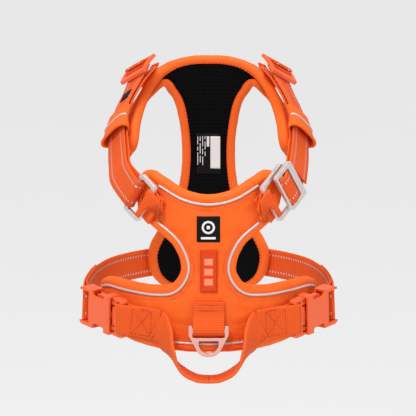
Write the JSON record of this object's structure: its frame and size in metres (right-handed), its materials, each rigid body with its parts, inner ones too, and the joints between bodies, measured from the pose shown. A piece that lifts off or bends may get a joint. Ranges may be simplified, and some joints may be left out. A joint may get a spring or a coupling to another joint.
{
  "type": "no pull dog harness",
  "caption": "Padded front-range dog harness with back and chest panels, adjustable neck straps, side release buckles, leash rings, metal release hook and a grab handle.",
  "frame": {"origin": "middle of the body loop, on the torso's axis, level with the belly straps' buckles", "axes": "+Z along the torso towards the head, -Y the back (dorsal) side with the leash ring and handle, +Y the chest side, +X the side of the metal release hook"},
  "size_m": [0.2112, 0.2121, 0.2398],
  "materials": {
    "face_cloth": "matte woven nylon face over foam",
    "spacer_mesh": "black spacer mesh",
    "binding_cloth": "smooth rolled edge cloth",
    "webbing": "ribbed nylon webbing, two rows of reflective dashes on the straps",
    "reflective_piping": "silver grey reflective cord piping",
    "buckle_plastic": "satin moulded acetal",
    "silver_alloy": "satin anodised light alloy",
    "rose_alloy": "satin rose anodised light alloy",
    "label_cloth": "black woven label"
  },
  "bodies": {
    "root": {"back_binding": "binding_cloth", "back_lining": "spacer_mesh", "back_panel": "face_cloth", "back_piping": "reflective_piping", "belly_strap_end_left": "webbing", "belly_strap_end_right": "webbing", "belly_strap_left": "webbing", "belly_strap_right": "webbing", "buckle_male_left": "buckle_plastic", "buckle_male_right": "buckle_plastic", "care_label": "label_cloth", "chest_binding": "binding_cloth", "chest_lining": "spacer_mesh", "chest_panel": "face_cloth", "keeper_left": "binding_cloth", "keeper_right": "binding_cloth", "leash_ring_back_webbing": "webbing", "leash_ring_chest_webbing": "webbing", "light_tab": "webbing", "neck_strap_left": "webbing", "neck_strap_right": "webbing", "neck_strap_top_left": "webbing", "neck_strap_top_right": "webbing", "shoulder_loop_left": "webbing", "shoulder_loop_right": "webbing", "side_strap_left": "webbing", "side_strap_right": "webbing", "side_tag": "label_cloth", "woven_patch": "label_cloth"},
    "back_ring": {"leash_ring_back": "rose_alloy"},
    "chest_ring": {"leash_ring_chest": "rose_alloy"},
    "handle": {"handle_webbing": "webbing"},
    "socket_left": {"buckle_socket_left": "buckle_plastic"},
    "latch_upper_left": {"buckle_latch_upper_left": "buckle_plastic"},
    "latch_lower_left": {"buckle_latch_lower_left": "buckle_plastic"},
    "slider_body_left": {"slider_left": "buckle_plastic"},
    "ring_left": {"shoulder_ring_left": "silver_alloy"},
    "socket_right": {"buckle_socket_right": "buckle_plastic"},
    "latch_upper_right": {"buckle_latch_upper_right": "buckle_plastic"},
    "latch_lower_right": {"buckle_latch_lower_right": "buckle_plastic"},
    "slider_body_right": {"slider_right": "buckle_plastic"},
    "ring_right": {"shoulder_ring_right": "silver_alloy"},
    "hook": {"neck_hook": "silver_alloy"}
  },
  "joints": [
    {"name": "back_ring_swing", "type": "hinge", "parent": "root", "child": "back_ring", "pos_m": [0, -0.09979, -0.0085], "axis": [-1, 0, 0], "range_deg": [0, 150]},
    {"name": "chest_ring_swing", "type": "hinge", "parent": "root", "child": "chest_ring", "pos_m": [0, 0.09136, 0.112], "axis": [1, 0, 0], "range_deg": [0, 150]},
    {"name": "handle_lift", "type": "hinge", "parent": "root", "child": "handle", "pos_m": [0, -0.0875, 0.0062], "axis": [-1, 0, 0], "range_deg": [0, 110]},
    {"name": "buckle_release_left", "type": "slide", "parent": "root", "child": "socket_left", "axis": [-0.6453, 0.7623, 0.05], "range_m": [0, 0.017], "deforming": ["belly_strap_end_left"]},
    {"name": "latch_flex_upper_left", "type": "hinge", "parent": "root", "child": "latch_upper_left", "pos_m": [-0.07446, -0.06845, 0.00521], "axis": [-0.7633, -0.6461, 0], "range_deg": [0, 10.5]},
    {"name": "latch_flex_lower_left", "type": "hinge", "parent": "root", "child": "latch_lower_left", "pos_m": [-0.07514, -0.06764, -0.01597], "axis": [-0.7633, -0.6461, 0], "range_deg": [-10.5, 0]},
    {"name": "slider_travel_left", "type": "slide", "parent": "root", "child": "slider_body_left", "axis": [-0.3919, -0.7742, -0.497], "range_m": [0, 0.008], "deforming": ["neck_strap_top_left"]},
    {"name": "shoulder_ring_tilt_left", "type": "hinge", "parent": "root", "child": "ring_left", "pos_m": [-0.04905, -0.07884, 0.08901], "axis": [-0.4357, 0.2464, -0.8657], "range_deg": [-4, 4]},
    {"name": "buckle_release_right", "type": "slide", "parent": "root", "child": "socket_right", "axis": [0.6453, 0.7623, 0.05], "range_m": [0, 0.017], "deforming": ["belly_strap_end_right"]},
    {"name": "latch_flex_upper_right", "type": "hinge", "parent": "root", "child": "latch_upper_right", "pos_m": [0.07446, -0.06845, 0.00521], "axis": [0.7633, -0.6461, 0], "range_deg": [-10.5, 0]},
    {"name": "latch_flex_lower_right", "type": "hinge", "parent": "root", "child": "latch_lower_right", "pos_m": [0.07514, -0.06764, -0.01597], "axis": [0.7633, -0.6461, 0], "range_deg": [0, 10.5]},
    {"name": "slider_travel_right", "type": "slide", "parent": "root", "child": "slider_body_right", "axis": [0.3919, -0.7742, -0.497], "range_m": [0, 0.008], "deforming": ["neck_strap_top_right"]},
    {"name": "shoulder_ring_tilt_right", "type": "hinge", "parent": "root", "child": "ring_right", "pos_m": [0.04905, -0.07884, 0.08901], "axis": [-0.4357, -0.2464, 0.8657], "range_deg": [0, 4]},
    {"name": "hook_tilt", "type": "hinge", "parent": "root", "child": "hook", "pos_m": [0.06179, -0.06934, 0.09812], "axis": [0.4357, 0.2464, -0.8657], "range_deg": [0, 22]}
  ],
  "couplings": [
    {"joint": "latch_flex_upper_left", "follows": "buckle_release_left", "rad_per_m": 10.2},
    {"joint": "latch_flex_lower_left", "follows": "buckle_release_left", "rad_per_m": -10.2},
    {"joint": "latch_flex_upper_right", "follows": "buckle_release_right", "rad_per_m": -10.2},
    {"joint": "latch_flex_lower_right", "follows": "buckle_release_right", "rad_per_m": 10.2}
  ]
}
